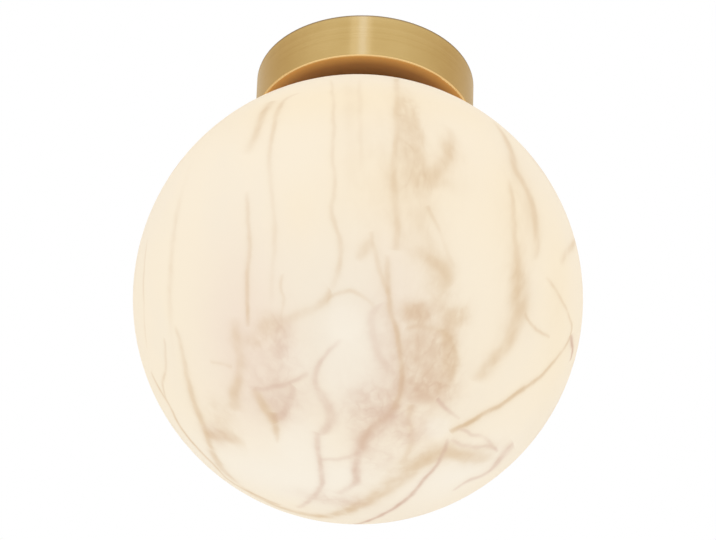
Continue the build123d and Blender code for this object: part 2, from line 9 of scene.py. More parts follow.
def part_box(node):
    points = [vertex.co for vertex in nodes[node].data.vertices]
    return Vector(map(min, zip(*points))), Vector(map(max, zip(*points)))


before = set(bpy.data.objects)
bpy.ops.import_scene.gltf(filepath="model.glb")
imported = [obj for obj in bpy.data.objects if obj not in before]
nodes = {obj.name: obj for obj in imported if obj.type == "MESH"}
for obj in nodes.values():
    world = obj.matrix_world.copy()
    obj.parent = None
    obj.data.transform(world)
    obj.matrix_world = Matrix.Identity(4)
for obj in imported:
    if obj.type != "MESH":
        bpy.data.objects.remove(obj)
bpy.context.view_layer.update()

globe_low, globe_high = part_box("globe_glass")
globe_radius = (globe_high.x - globe_low.x) / 2
globe_centre = Vector((0, 0, globe_low.z + globe_radius))
canopy_low, canopy_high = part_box("canopy")
canopy_radius = (canopy_high.x - canopy_low.x) / 2
gallery_low, gallery_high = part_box("gallery_ring")
gallery_radius = (gallery_high.x - gallery_low.x) / 2

# Camera: twelve globe diameters off, below and in front, as the photograph was taken
image_width = 716
image_height = 540
camera_distance = 24 * globe_radius
view_reach = 20
camera_rise = math.radians(37.16)
camera_roll = math.radians(-1.97)
camera_pitch = math.radians(0.31)
camera_yaw = math.radians(0.01)
focal_pixels = 5397.5
sensor_width = 36.0
# the globe's radius in the photograph
globe_pixels = 225

# Room and lights
floor_drop = 6.0
floor_size = 30.0
floor_pale = (0.96, 0.96, 0.955)
room_light = 1.0
white = (1, 1, 1)
# what metal mirrors of the room beyond the light, and where that starts and is full, in the
# mirrored direction's share towards the back
room_back = (0.78, 0.69, 0.56)
back_start = -0.66
back_full = 0.1
lamp_rise = math.radians(37)
lamp_height = 1.5
# degrees round from the front, distance, width, brightness against the room's white, and colour
lamps = {
    "broad strip": (-6.3, 3.0, 0.90, 0.50, (0.44, 0.55, 1.0)),
    "narrow strip": (-4.4, 2.98, 0.32, 0.86, (0.19, 0.34, 1.0)),
}


class View:
    """The photograph's camera, used to aim the render and to place marks seen in the photo."""

    def __init__(self):
        back = Vector((0, -math.cos(camera_rise), -math.sin(camera_rise)))
        self.position = globe_centre + back * camera_distance
        right = Vector((1, 0, 0))
        up = right.cross(-back)
        axes = Matrix((right, up, -back))
        roll = Matrix.Rotation(camera_roll, 3, "Z")
        pitch = Matrix.Rotation(camera_pitch, 3, "X")
        yaw = Matrix.Rotation(camera_yaw, 3, "Y")
        axes = roll @ pitch @ yaw @ axes
        self.right, self.up, self.forward = axes[0], axes[1], axes[2]
        # axes of the globe's flat map, whose middle faces the photograph's camera
        self.middle = back
        self.map_right = (self.right - back * self.right.dot(back)).normalized()
        self.map_up = self.map_right.cross(-back)

    def on_globe(self, pixel):
        """The point of the unit globe that a pixel of the photograph shows."""
        across = (pixel[0] + 0.5 - image_width / 2) / focal_pixels
        above = (image_height / 2 - pixel[1] - 0.5) / focal_pixels
        ray = (self.forward + self.right * across + self.up * above).normalized()
        start = (self.position - globe_centre) / globe_radius
        half = start.dot(ray)
        inside = max(half * half - start.dot(start) + 1, 0.0)
        return (start - ray * (half + math.sqrt(inside))).normalized()

    def on_map(self, pixel):
        """The same point on the globe's flat map, as angles out from the map's middle."""
        spot = self.on_globe(pixel)
        out = math.acos(min(spot.dot(self.middle), 1.0))
        flat = Vector((spot.dot(self.map_right), spot.dot(self.map_up)))
        return flat.normalized() * out


view = View()


def make_camera():
    """The photograph's camera as Blender's own."""
    data = bpy.data.cameras.new("camera")
    data.sensor_width = sensor_width
    data.lens = focal_pixels / image_width * sensor_width
    data.clip_end = view_reach
    camera = bpy.data.objects.new("camera", data)
    axes = Matrix((view.right, view.up, -view.forward)).transposed()
    camera.matrix_world = Matrix.Translation(view.position) @ axes.to_4x4()
    bpy.context.scene.collection.objects.link(camera)
    bpy.context.scene.camera = camera


class Value:
    """A node's output socket that takes part in plain arithmetic."""

    def __init__(self, sheet, socket):
        self.sheet = sheet
        self.socket = socket

    def math(self, operation, *others):
        return self.sheet.node("Math", {"operation": operation}, [self, *others])

    def __add__(self, other):
        return self.math("ADD", other)

    def __sub__(self, other):
        return self.math("SUBTRACT", other)

    def __rsub__(self, other):
        return self.sheet.node("Math", {"operation": "SUBTRACT"}, [other, self])

    def __mul__(self, other):
        return self.math("MULTIPLY", other)

    def __truediv__(self, other):
        return self.math("DIVIDE", other)

    def __rtruediv__(self, other):
        return self.sheet.node("Math", {"operation": "DIVIDE"}, [other, self])

    def __pow__(self, other):
        return self.math("POWER", other)

    __radd__ = __add__
    __rmul__ = __mul__


class Sheet:
    """A node tree, and one method that adds any node to it."""

    def __init__(self, tree):
        self.tree = tree

    def put(self, target, value):
        if isinstance(value, Value):
            self.tree.links.new(value.socket, target)
        elif target.type == "RGBA" and len(value) == 3:
            target.default_value = (*value, 1)
        else:
            target.default_value = value

    def node(self, kind, settings, inputs, output=0):
        """Any node: its type, its settings, its sockets' values or links, and the output."""
        made = self.tree.nodes.new("ShaderNode" + kind)
        for name, value in settings.items():
            if name == "stops":
                ramp = made.color_ramp.elements
                while len(ramp) < len(value):
                    ramp.new(0.5)
                for stop, (place, colour) in zip(ramp, value):
                    stop.position = place
                    stop.color = (*colour, 1)
            elif name == "points":
                made.mapping.extend = "HORIZONTAL"
                curve = made.mapping.curves[0]
                while len(curve.points) < len(value):
                    curve.points.new(0.5, 0.5)
                for point, place in zip(curve.points, value):
                    point.location = place
                made.mapping.update()
            else:
                setattr(made, name, value)
        pairs = inputs.items() if isinstance(inputs, dict) else enumerate(inputs)
        for key, value in pairs:
            self.put(made.inputs[key], value)
        return Value(self, made.outputs[output])

    def split(self, vector):
        return [self.node("SeparateXYZ", {}, [vector], axis) for axis in range(3)]

    def join(self, x, y, z):
        return self.node("CombineXYZ", {}, [x, y, z])

    def vector(self, operation, *inputs, output=0):
        return self.node("VectorMath", {"operation": operation}, inputs, output)

    def noise(self, place, scale, detail=4, roughness=0.5, output="Fac"):
        inputs = {"Vector": place, "Scale": scale, "Detail": detail, "Roughness": roughness}
        return self.node("TexNoise", {}, inputs, output)

    def ramp(self, value, *stops):
        return self.node("ValToRGB", {"stops": stops}, [value])

    def curve(self, value, points):
        return self.node("FloatCurve", {"points": points}, {"Value": value})

    def spread(self, value, low, high, start=0, end=1):
        """Maps low..high of a value to start..end, held at both ends."""
        return self.node("MapRange", {}, [value, low, high, start, end])

    def blend(self, factor, first, second, mode="MIX"):
        settings = {"data_type": "RGBA", "blend_type": mode}
        inputs = {"Factor": factor, 6: first, 7: second}
        return self.node("Mix", settings, inputs, 2)


class Finish(Sheet):
    """A material with one Principled shader."""

    def __init__(self, name, **sockets):
        self.material = bpy.data.materials.new(name)
        self.material.use_nodes = True
        super().__init__(self.material.node_tree)
        self.shader = self.tree.nodes["Principled BSDF"]
        self.set(**sockets)

    def set(self, **sockets):
        """Sets or links the shader's sockets; base_color stands for Base Color."""
        for name, value in sockets.items():
            words = name.replace("_", " ").title().replace("Ior", "IOR")
            self.put(self.shader.inputs[words], value)

    def place(self):
        """Position on the object, in metres, which rides with its body."""
        return self.node("TexCoord", {}, {}, "Object")

    def facing(self):
        """The surface's own direction on the object, which rides with its body."""
        return self.node("TexCoord", {}, {}, "Normal")

    def bump(self, height, distance, strength=1.0):
        return self.node("Bump", {}, {"Height": height, "Distance": distance, "Strength": strength})


# Brass tones: the lacquered side, a painted highlight on the lower rim, painted shade on the top edge,
# and the underside painted with shade and a warm reflection of the globe, rim to neck
brass_light = (0.66, 0.475, 0.200)
brass_deep = (0.58, 0.400, 0.150)
brass_rim_highlight = (0.88, 0.60, 0.27)
brass_edge_shade = (0.30, 0.21, 0.12)
painted_underside_outer = (0.82, 0.43, 0.108)
painted_underside_middle = (0.40, 0.18, 0.050)
painted_underside_inner = (0.22, 0.10, 0.032)
# the lathe's rings, fine and broad, the lacquer's clouds, and how deep a fine ring is
fine_rings = 2600
broad_rings = 260
lacquer_clouds = 30
ring_depth = 0.000012
# the underside's lacquer is older, so it is rougher and mirrors less
older_roughness = 0.2
older_metallic = 0.4


def brushed_brass():
    """Satin brass turned on a lathe: fine rings, a painted highlight on the rim, painted shade on the
    top edge, and a duller underside of older lacquer whose colour is painted shade and a warm painted
    reflection of the globe, darker towards the neck.
    """
    brass = Finish("brushed brass", anisotropic=0.9, anisotropic_rotation=0.25)
    place = brass.place()
    x, y, z = brass.split(place)
    reach = (x * x + y * y).math("SQRT")
    around = brass.join(reach, 0, z)
    rings = brass.noise(around, scale=fine_rings, detail=3, roughness=0.7)
    broad = brass.noise(around, scale=broad_rings, detail=3, roughness=0.6)
    cloud = brass.noise(place, scale=lacquer_clouds, detail=4, roughness=0.6)
    wear = rings * 0.35 + broad * 0.4 + cloud * 0.35
    tone = brass.blend(brass.spread(wear, 0.45, 0.68), brass_deep, brass_light)
    down = brass.split(brass.facing())[2]
    beneath = brass.spread(down, -0.75, -0.97)
    inwards = brass.spread(reach, gallery_radius, canopy_radius)
    # the underside's colour is painted shade from the globe close below, darkening in towards the neck,
    # with a warm painted reflection of the globe near the rim
    under = brass.ramp(inwards, (0.0, painted_underside_inner), (0.5, painted_underside_middle),
                       (0.95, painted_underside_outer))
    under = brass.blend(brass.spread(wear, 0.4, 0.7, 0.0, 0.3), under, painted_underside_middle)
    tone = brass.blend(beneath, tone, under)
    # a painted highlight along the rounded lower rim
    rim = brass.spread(down, -0.08, -0.3) * (1 - beneath)
    tone = brass.blend(rim, tone, brass_rim_highlight)
    # painted shade along the top edge, where the canopy meets the ceiling
    top_edge_shade = brass.spread(z, -0.0012, -0.0003)
    tone = brass.blend(top_edge_shade, tone, brass_edge_shade)
    brass.set(base_color=tone)
    brass.set(metallic=brass.spread(beneath, 0, 1, 1, older_metallic))
    satin = brass.spread(broad, 0.3, 0.7, 0.19, 0.25)
    brass.set(roughness=satin + beneath * older_roughness)
    brass.set(normal=brass.bump(rings, ring_depth))
    return brass.material


# How dark the mottle of moulded pieces goes, and how dust shades and greys it
mould_shade = 0.84
dust_shade = 0.8
dust_grey = 0.1
# How dark the grain of plated metal goes, and what tarnish leaves of its red, green and blue
plate_shade = 0.72
tarnish_levels = (0.86, 0.80, 0.66)
# Depth of an orange-peel skin or a metal's grain, of a wavy glaze and of a printed surface
skin_depth = 0.00001
glaze_depth = 0.00005
print_depth = 0.00002


def moulded(name, colour, roughness, **sockets):
    """Moulded plastic or rubber: a faint mottle, dust in it and an orange-peel skin."""
    finish = Finish(name, **sockets)
    place = finish.place()
    mottle = finish.noise(place, scale=90, detail=5, roughness=0.6)
    dark = tuple(mould_shade * part for part in colour)
    dust = tuple(dust_shade * part + dust_grey for part in colour)
    tone = finish.blend(finish.spread(mottle, 0.35, 0.65), dark, colour)
    dusty = finish.spread(finish.noise(place, scale=340, detail=4, roughness=0.7), 0.55, 0.75, 0, 0.35)
    finish.set(base_color=finish.blend(dusty, tone, dust))
    finish.set(roughness=finish.spread(mottle, 0.3, 0.7, roughness * 0.85, roughness * 1.15))
    finish.set(normal=finish.bump(finish.noise(place, scale=1500, detail=3), skin_depth))
    return finish.material


def plated(name, colour, roughness, grain=(1, 1, 1)):
    """Plated metal: drawn or turned grain and a little tarnish."""
    finish = Finish(name, metallic=1)
    place = finish.place()
    drawn = finish.vector("MULTIPLY", place, grain)
    lines = finish.noise(drawn, scale=1100, detail=4, roughness=0.65)
    stain = finish.noise(place, scale=60, detail=5, roughness=0.6)
    dark = tuple(plate_shade * part for part in colour)
    tone = finish.blend(finish.spread(lines, 0.3, 0.7), dark, colour)
    tarnish = tuple(part * level for part, level in zip(colour, tarnish_levels))
    tone = finish.blend(finish.spread(stain, 0.45, 0.7, 0, 0.6), tone, tarnish)
    finish.set(base_color=tone)
    finish.set(roughness=finish.spread(lines, 0.3, 0.7, roughness * 0.8, roughness * 1.2))
    finish.set(normal=finish.bump(lines, skin_depth))
    return finish.material


# Porcelain: the glaze's two tones and its iron specks
glaze_cream = (0.86, 0.835, 0.77)
glaze_white = (0.90, 0.885, 0.845)
glaze_speck = (0.30, 0.22, 0.15)


def glazed_porcelain():
    """White glazed porcelain with faint iron specks and a soft ripple in the glaze."""
    glaze = Finish("glazed porcelain", roughness=0.14, coat_roughness=0.05)
    place = glaze.place()
    cloud = glaze.noise(place, scale=45, detail=4)
    tone = glaze.blend(cloud, glaze_cream, glaze_white)
    specks = glaze.spread(glaze.noise(place, scale=520, detail=2, roughness=0.5), 0.70, 0.76, 0, 0.7)
    glaze.set(base_color=glaze.blend(specks, tone, glaze_speck))
    glaze.set(coat_weight=glaze.spread(cloud, 0.3, 0.7, 0.6, 0.9))
    glaze.set(normal=glaze.bump(glaze.noise(place, scale=130, detail=3), glaze_depth))
    return glaze.material


# Earth lead: two tones of its green and its yellow, and how the stripe wanders along it
lead_green = ((0.04, 0.26, 0.035), (0.06, 0.34, 0.05))
lead_yellow = ((0.75, 0.55, 0.03), (0.85, 0.66, 0.05))
stripe_waves = 220
stripe_sway = 0.25


def striped_lead():
    """Earth insulation: a green lead with a yellow stripe along it."""
    sleeve = Finish("green and yellow lead", roughness=0.3)
    place = sleeve.place()
    along = sleeve.split(place)[0]
    side = sleeve.split(sleeve.facing())[2] + (along * stripe_waves).math("SINE") * stripe_sway
    stripe = sleeve.spread(side, 0.06, 0.12)
    mottle = sleeve.noise(place, scale=300, detail=3)
    green = sleeve.blend(mottle, *lead_green)
    yellow = sleeve.blend(mottle, *lead_yellow)
    sleeve.set(base_color=sleeve.blend(stripe, green, yellow))
    sleeve.set(normal=sleeve.bump(mottle, print_depth))
    return sleeve.material


# Lamp's board: its solder mask, and the ring of chips, with their number and half width
mask_grey = (0.80, 0.82, 0.79)
mask_white = (0.88, 0.89, 0.87)
chip_amber = (0.85, 0.60, 0.12)
chip_ring = 0.018
chip_count = 12
chip_inner = 0.0013
chip_outer = 0.0016


def circuit_board():
    """White solder mask with a ring of small amber chips under the diffuser."""
    board = Finish("white circuit board", roughness=0.4)
    place = board.place()
    x, y = board.split(place)[:2]
    reach = (x * x + y * y).math("SQRT")
    turn = y.math("ARCTAN2", x)
    ring = board.spread((reach - chip_ring).math("ABSOLUTE"), chip_outer, chip_inner)
    spaced = board.spread((turn * chip_count).math("COSINE"), 0.80, 0.84)
    mask = board.blend(board.noise(place, scale=200, detail=3), mask_grey, mask_white)
    board.set(base_color=board.blend(ring * spaced, mask, chip_amber))
    board.set(normal=board.bump(board.noise(place, scale=900, detail=3), print_depth))
    return board.material


# Finishes of the pieces that the globe and canopy hide, each with the nodes that wear it
plain_finishes = [
    (plated("zinc plate", (0.60, 0.60, 0.585), 0.34, (0.12, 1, 1)), ["mounting_plate"]),
    (plated("zinc bridge", (0.60, 0.60, 0.585), 0.36, (1, 0.12, 1)),
     ["holder_bridge", "gallery_locknut"]),
    (plated("plated screws", (0.56, 0.55, 0.52), 0.3, (1, 1, 0.3)),
     ["canopy_screws", "holder_screws", "terminal_screws", "block_screws", "earth_screw"]),
    (plated("bare brass", (0.72, 0.52, 0.22), 0.32, (1, 1, 0.2)),
     ["centre_contact", "terminal_sleeves", "lampholder_shell"]),
    (plated("tinned copper", (0.66, 0.62, 0.56), 0.35), ["earth_tag"]),
    (plated("nickel cap", (0.68, 0.67, 0.64), 0.24, (1, 1, 0.2)), ["lamp_cap"]),
    (plated("solder", (0.62, 0.62, 0.60), 0.38), ["lamp_tip"]),
    (moulded("black rubber", (0.030, 0.030, 0.030), 0.7), ["cable_grommet"]),
    (moulded("pale silicone", (0.76, 0.74, 0.68), 0.55), ["gasket"]),
    (moulded("white nylon", (0.84, 0.83, 0.78), 0.42, subsurface_weight=0.1), ["terminal_block"]),
    (moulded("brown lead", (0.17, 0.06, 0.022), 0.3), ["live_lead"]),
    (moulded("blue lead", (0.02, 0.09, 0.38), 0.3), ["neutral_lead"]),
    (moulded("black insulator", (0.022, 0.022, 0.026), 0.12), ["cap_insulator"]),
    (moulded("white collar", (0.86, 0.86, 0.84), 0.4), ["lamp_collar"]),
    (moulded("frosted diffuser", (0.90, 0.89, 0.85), 0.5), ["lamp_bulb"]),
    (moulded("driver sleeve", (0.80, 0.78, 0.70), 0.45), ["led_driver"]),
    (glazed_porcelain(), ["lampholder_body"]),
    (striped_lead(), ["earth_lead"]),
    (circuit_board(), ["led_board"]),
]

# Marble tones: the milky ground, its warmer and greyer drifts, and the two kinds of vein
ground_cream = (0.962, 0.850, 0.674)
ground_honey = (0.968, 0.826, 0.600)
ground_grey = (0.905, 0.817, 0.688)
ground_pink = (0.905, 0.770, 0.642)
ground_pale = (0.962, 0.885, 0.758)
vein_tan = (0.685, 0.475, 0.265)
vein_rose = (0.665, 0.445, 0.332)
vein_density = 1.6
vein_breadth = 1.05
# above this half width a vein is a band, which fades in over more of its length
line_width = 4.5
line_ease = 0.09
band_ease = 0.2
# how a soft patch falls off
patch_fall = -0.8

# Veins from the photograph: half width in pixels and strength, each at the start, middle
# and end, and the pixels that the vein runs through
tan_veins = {
    "hook": ((3, 2.5, 2.2), (0.36, 0.1, 0.1),
             ((299, 92), (285, 99), (277, 113), (273, 131), (270, 149), (269.5, 178), (272, 200),
              (273, 222), (273, 262), (271, 305))),
    "hook smear": ((6.25, 5, 5), (0.5, 0.24, 0.2),
                   ((272, 100), (263, 114), (257, 128), (252, 140), (246, 155))),
    "left line": ((2, 2.25, 2), (0.06, 0.32, 0.3),
                  ((246, 190), (247, 215), (249, 237), (248, 259), (247, 281), (247, 304),
                   (247, 326))),
    "long line": ((1.75, 2, 2.5), (0.1, 0.14, 0.18),
                  ((331, 78), (332.5, 120), (333, 164), (333.5, 193), (331, 209), (335, 224),
                   (340, 240), (340, 256), (337, 270), (331, 287), (326, 297))),
    "long line's foot": ((3.12, 3.75, 4), (0.27, 0.2, 0.12),
                         ((330, 289), (326, 299), (314, 308), (303, 312), (292, 317), (280, 322))),
    "top haze": ((7, 8, 5), (0.04, 0.07, 0.02),
                 ((348, 78), (349, 110), (350, 150), (352, 190))),
    "top hairline": ((2.5, 3, 2), (0.06, 0.1, 0.03),
                     ((359, 78), (359, 110), (360, 145), (362, 172))),
    "rim hairline": ((1.6, 1.8, 1.6), (0.1, 0.14, 0.08),
                     ((147, 236), (144, 262), (143, 290), (144, 320), (147, 350))),
    "fine fringe": ((1.5, 1.6, 1.5), (0.12, 0.14, 0.1),
                    ((283, 272), (281, 286), (284, 300), (281, 316), (283, 330))),
    "cross arc": ((2, 2, 1.75), (0.18, 0.16, 0.06),
                  ((326, 300), (334, 294), (344, 291), (356, 291), (366, 297), (376, 308))),
    "drape": ((4, 3, 3.25), (0.2, 0.24, 0.28),
              ((396, 76), (396, 110), (396, 139), (394, 168), (394.5, 197), (397, 225), (395, 250))),
    "drape shoulder": ((6.25, 7.5, 6.25), (0.16, 0.2, 0.14),
                       ((413, 172), (424, 177), (437, 170), (447, 160), (453, 146), (449, 126))),
    "drape side": ((3.75, 4, 5), (0.09, 0.08, 0.1),
                   ((404, 186), (410, 203), (416, 219), (426, 236), (434, 246))),
    "drape thread": ((2, 2.25, 2), (0.18, 0.2, 0.16),
                     ((369, 231), (373, 247), (378, 262), (383, 279), (389, 296))),
    "drape scuff": ((4, 5, 3), (0.12, 0.2, 0.12),
                    ((372, 240), (367, 246), (362, 253), (357, 262))),
    "side thread": ((2, 2, 2), (0.26, 0.06, 0.06),
                    ((427, 205), (434, 219), (441, 236), (447, 253), (453, 268))),
    "elbow": ((4, 6, 7), (0.16, 0.3, 0.24),
              ((412, 246), (422, 253), (432, 261), (441, 268), (446, 279), (447, 290))),
    "outer band": ((4.5, 5.5, 4.5), (0.24, 0.33, 0.34),
                   ((493, 121), (504, 136), (511, 152), (515, 168), (522, 181), (528, 193),
                    (532, 208), (535, 226), (537, 243), (534, 262))),
    "inner band": ((2.5, 3.5, 5), (0.2, 0.25, 0.2),
                   ((508, 178), (511, 195), (513, 212), (514, 231), (516, 251), (518, 268),
                    (521, 282))),
    "lower band": ((8.5, 7.5, 5), (0.24, 0.46, 0.36),
                   ((520, 268), (521, 285), (521, 300), (518, 314), (512, 329), (504, 346),
                    (494, 359), (484, 371), (474, 381))),
    "band twig": ((1.62, 1.88, 1.5), (0.24, 0.3, 0.16),
                  ((524, 312), (528, 320), (534, 327), (541, 333), (549, 338))),
    "right rim": ((2.25, 2, 2), (0.14, 0.24, 0.32),
                  ((545, 277), (556, 291), (563, 303), (569, 316), (571, 328), (568, 338))),
    "upper rim spot": ((3.5, 4.5, 3.5), (0.2, 0.26, 0.12),
                       ((575, 240), (570, 247), (565, 255), (559, 264))),
    "long diagonal": ((2, 2.5, 2.75), (0.26, 0.52, 0.72),
                      ((571, 330), (567, 342), (558, 356), (547, 368), (534, 380), (519, 391),
                       (503, 403), (488, 411), (473, 420), (459, 427), (449, 432))),
    "left vein": ((2.5, 5, 6), (0.24, 0.36, 0.4),
                  ((174, 322), (180, 344), (184, 362), (188, 379), (192, 396), (198, 413),
                   (205, 433), (213, 455), (223, 470), (238, 484))),
    "left thread": ((1.75, 2, 2), (0.14, 0.18, 0.2),
                    ((163, 338), (165, 352), (165, 366), (162, 385), (165, 398))),
    "rim thread": ((2.25, 2.5, 3), (0.26, 0.56, 0.3),
                   ((150, 370), (158, 387), (168, 404), (180, 427), (195, 446), (212, 463),
                    (230, 481), (254, 494), (280, 505))),
    "left smear": ((5, 5, 6.25), (0.26, 0.24, 0.4),
                   ((234, 316), (236, 332), (238, 348), (240, 366), (237, 380), (234, 396),
                    (236, 412))),
    "left patch": ((6, 6.5, 6.25), (0.44, 0.4, 0.2),
                   ((204, 437), (214, 435), (224, 435), (234, 438), (246, 444))),
    "left twig": ((1.62, 1.88, 1.88), (0.06, 0.12, 0.16),
                  ((208, 361), (216, 362), (224, 364), (232, 367))),
    "lower swoosh": ((5, 6.25, 7.5), (0.2, 0.42, 0.5),
                     ((232, 480), (246, 490), (262, 499), (280, 507), (300, 513), (322, 516),
                      (342, 512), (360, 505))),
    "rising swoosh": ((7.5, 8.75, 7), (0.6, 0.36, 0.26),
                      ((344, 511), (362, 503), (381, 491), (399, 479), (414, 467), (428, 458),
                       (444, 452), (462, 456), (480, 458), (497, 455))),
    "palm's top": ((2, 2.6, 2.4), (0.14, 0.2, 0.16),
                   ((404, 330), (415, 326), (427, 326), (437, 328), (447, 336))),
    "palm's side": ((2.2, 3, 2.4), (0.22, 0.24, 0.1),
                    ((442, 328), (450, 342), (455, 354), (454, 367), (449, 379), (445, 390))),
    "eye left": ((3.75, 4.5, 3.5), (0.16, 0.44, 0.36),
                 ((252, 388), (258, 397), (264, 407), (270, 416), (276, 422))),
    "eye's tail": ((3.5, 3, 1.5), (0.3, 0.36, 0.1),
                   ((273, 412), (275, 423), (276, 432), (277, 444))),
    "main": ((2.4, 2.4, 2.8), (0.14, 0.42, 0.5),
             ((387, 254), (388, 280), (389, 300), (392, 320), (397, 337), (400, 353), (400.5, 375),
              (399, 395), (394, 411))),
    "mauve accent": ((2.4, 3.2, 2.6), (0.2, 0.34, 0.2),
                     ((400, 404), (391, 413), (381, 420), (371, 428), (363, 439), (361, 450))),
    "palm streak": ((2, 2.4, 2), (0.12, 0.2, 0.12),
                    ((441, 332), (444, 348), (444, 364), (440, 380), (436, 396))),
    "inner thread": ((3, 3.75, 3.75), (0.34, 0.2, 0.16),
                     ((412, 404), (410, 418), (412, 434), (408, 450), (400, 466))),
}
rose_veins = {
    "diagonal's tail": ((2, 2.5, 3), (0.28, 0.8, 0.8),
                        ((448, 438), (441, 455), (434, 468), (424, 479), (414, 492), (402, 502),
                         (384, 513), (366, 521), (352, 525))),
    "main's foot": ((5, 6.25, 3.75), (0.34, 0.34, 0.26),
                    ((397, 402), (391, 414), (381, 423), (369, 433), (361, 444), (358, 458),
                     (357, 470), (354, 486))),
    "main halo": ((6, 6, 7), (0.02, 0.06, 0.18),
                  ((388, 280), (388, 300), (390, 320), (394, 337), (396, 353), (396, 375),
                   (396, 395), (392, 411))),
    "squiggle": ((2.2, 2.6, 2.2), (0.16, 0.2, 0.12),
                 ((450, 439), (458, 444), (467, 445), (477, 447), (486, 446), (496, 450))),
    "inner arc": ((3, 3.4, 3.4), (0.16, 0.17, 0.14),
                  ((381, 303), (374, 312), (371, 322), (373, 338), (378, 351), (385, 363),
                   (392, 377))),
    "net top": ((1.88, 2.25, 3), (0.12, 0.26, 0.24),
                ((342, 338), (334, 345), (326, 352), (319, 361), (315, 372), (315, 382),
                 (319, 391))),
    "net middle": ((4, 5.5, 4), (0.32, 0.32, 0.36),
                   ((317, 385), (322, 395), (328, 406), (329, 419), (324, 429), (318, 436))),
    "net lower": ((3.25, 3, 3), (0.34, 0.3, 0.3),
                  ((316, 432), (317, 444), (320, 458), (321, 472), (320, 486), (309, 499),
                   (298, 508))),
    "net link": ((2, 2.5, 3.25), (0.14, 0.26, 0.16),
                 ((319, 458), (330, 459), (342, 458), (352, 455), (361, 450))),
    "net tail": ((3, 4, 3), (0.2, 0.3, 0.16),
                 ((358, 458), (354, 471), (355, 482), (347, 489), (336, 494))),
    "eye's ridge": ((2, 2.5, 2.5), (0.14, 0.32, 0.16),
                    ((308, 372), (300, 377), (292, 382), (283, 386), (271, 388), (256, 389),
                     (247, 387))),
    "eye right": ((4, 4.5, 3.75), (0.26, 0.32, 0.2),
                  ((272, 419), (280, 415), (287, 406), (291, 396), (293, 386))),
    "small link": ((1.88, 2.12, 1.62), (0.44, 0.28, 0.2),
                   ((436, 398), (444, 406), (452, 413), (460, 418))),
    "fork": ((2, 2.5, 2), (0.3, 0.14, 0.2),
             ((456, 430), (464, 430), (472, 434), (482, 436), (490, 444), (498, 452))),
    "lower blob": ((8, 4.5, 2.2), (0.6, 0.44, 0.26),
                   ((514, 444), (504, 453), (495, 464), (485, 473), (469, 480), (451, 491))),
    "rim spot": ((3.25, 3.25, 2.5), (0.34, 0.9, 0.6),
                 ((570, 334), (571, 343), (572, 351), (570, 360))),
}

# Smoky patches: middle pixel, half width and height in pixels, lean in degrees, strength and,
# for one with a firm edge, how firm
tan_patches = {
    "drape band": ((410, 126), (15, 58), 0, 0.31, 3),
    "drape fill": ((408, 168), (20, 34), 0, 0.07, 2),
    "shoulder join": ((439, 167), (17, 8), 30, 0.2, 2),
    "drape foot": ((424, 180), (26, 10), 0, 0.24, 2),
    "shoulder": ((450, 150), (8, 14), 15, 0.24, 2),
    "drape middle": ((416, 212), (20, 34), 8, 0.09),
    "drape haze": ((392, 175), (46, 90), 0, 0.05),
    "band haze": ((521, 205), (22, 60), -8, 0.1),
    "elbow": ((424, 252), (13, 9), -20, 0.14),
    "elbow's foot": ((437, 270), (12, 16), 8, 0.14),
    "hand": ((440, 292), (10, 22), 0, 0.15),
    "hand top left": ((416, 313), (14, 11), 0, 0.4, 2),
    "hand top right": ((456, 315), (9, 11), -35, 0.4, 2),
    "palm": ((427, 362), (27, 40), 0, 0.27, 3),
    "palm side": ((449, 356), (8, 26), 8, 0.3, 2),
    "palm foot": ((430, 391), (19, 11), -6, 0.2, 2),
    "low drift": ((420, 462), (34, 12), 28, 0.2, 2),
    "band foot": ((518, 284), (12, 24), 0, 0.27, 2),
    "left orange": ((270, 327), (11, 10), 0, 0.3),
    "left olive": ((253, 339), (13, 7), 0, 0.16),
    "left haze": ((221, 416), (17, 20), 0, 0.13),
    "left band": ((171, 255), (4, 70), 0, 0.12),
    "rim drift": ((556, 300), (14, 40), -10, 0.03),
    "fork patch": ((470, 452), (32, 9), 0, 0.14, 2),
}
rose_patches = {
    "palm": ((427, 362), (27, 40), 0, 0.15, 3),
    "palm foot": ((426, 391), (23, 12), -6, 0.2, 2),
    "hand": ((418, 313), (16, 12), 0, 0.1, 2),
    "mauve": ((374, 410), (24, 24), 0, 0.40, 2),
    "mauve foot": ((362, 442), (10, 12), 30, 0.2),
    "grey": ((410, 430), (17, 18), 0, 0.24, 2),
    "eye": ((280, 408), (13, 12), 0, 0.16, 2),
    "eye halo": ((274, 388), (30, 28), 0, 0.14),
    "left pink": ((281, 343), (9, 20), 0, 0.26),
    "left drift": ((264, 352), (36, 44), 0, 0.05, 2),
    "low net": ((336, 500), (34, 12), -12, 0.22),
    "arc fill": ((384, 345), (12, 34), 10, 0.09, 2),
    "left stain": ((216, 434), (20, 14), 0, 0.14),
    "foot stain": ((381, 458), (15, 13), 20, 0.15, 2),
}

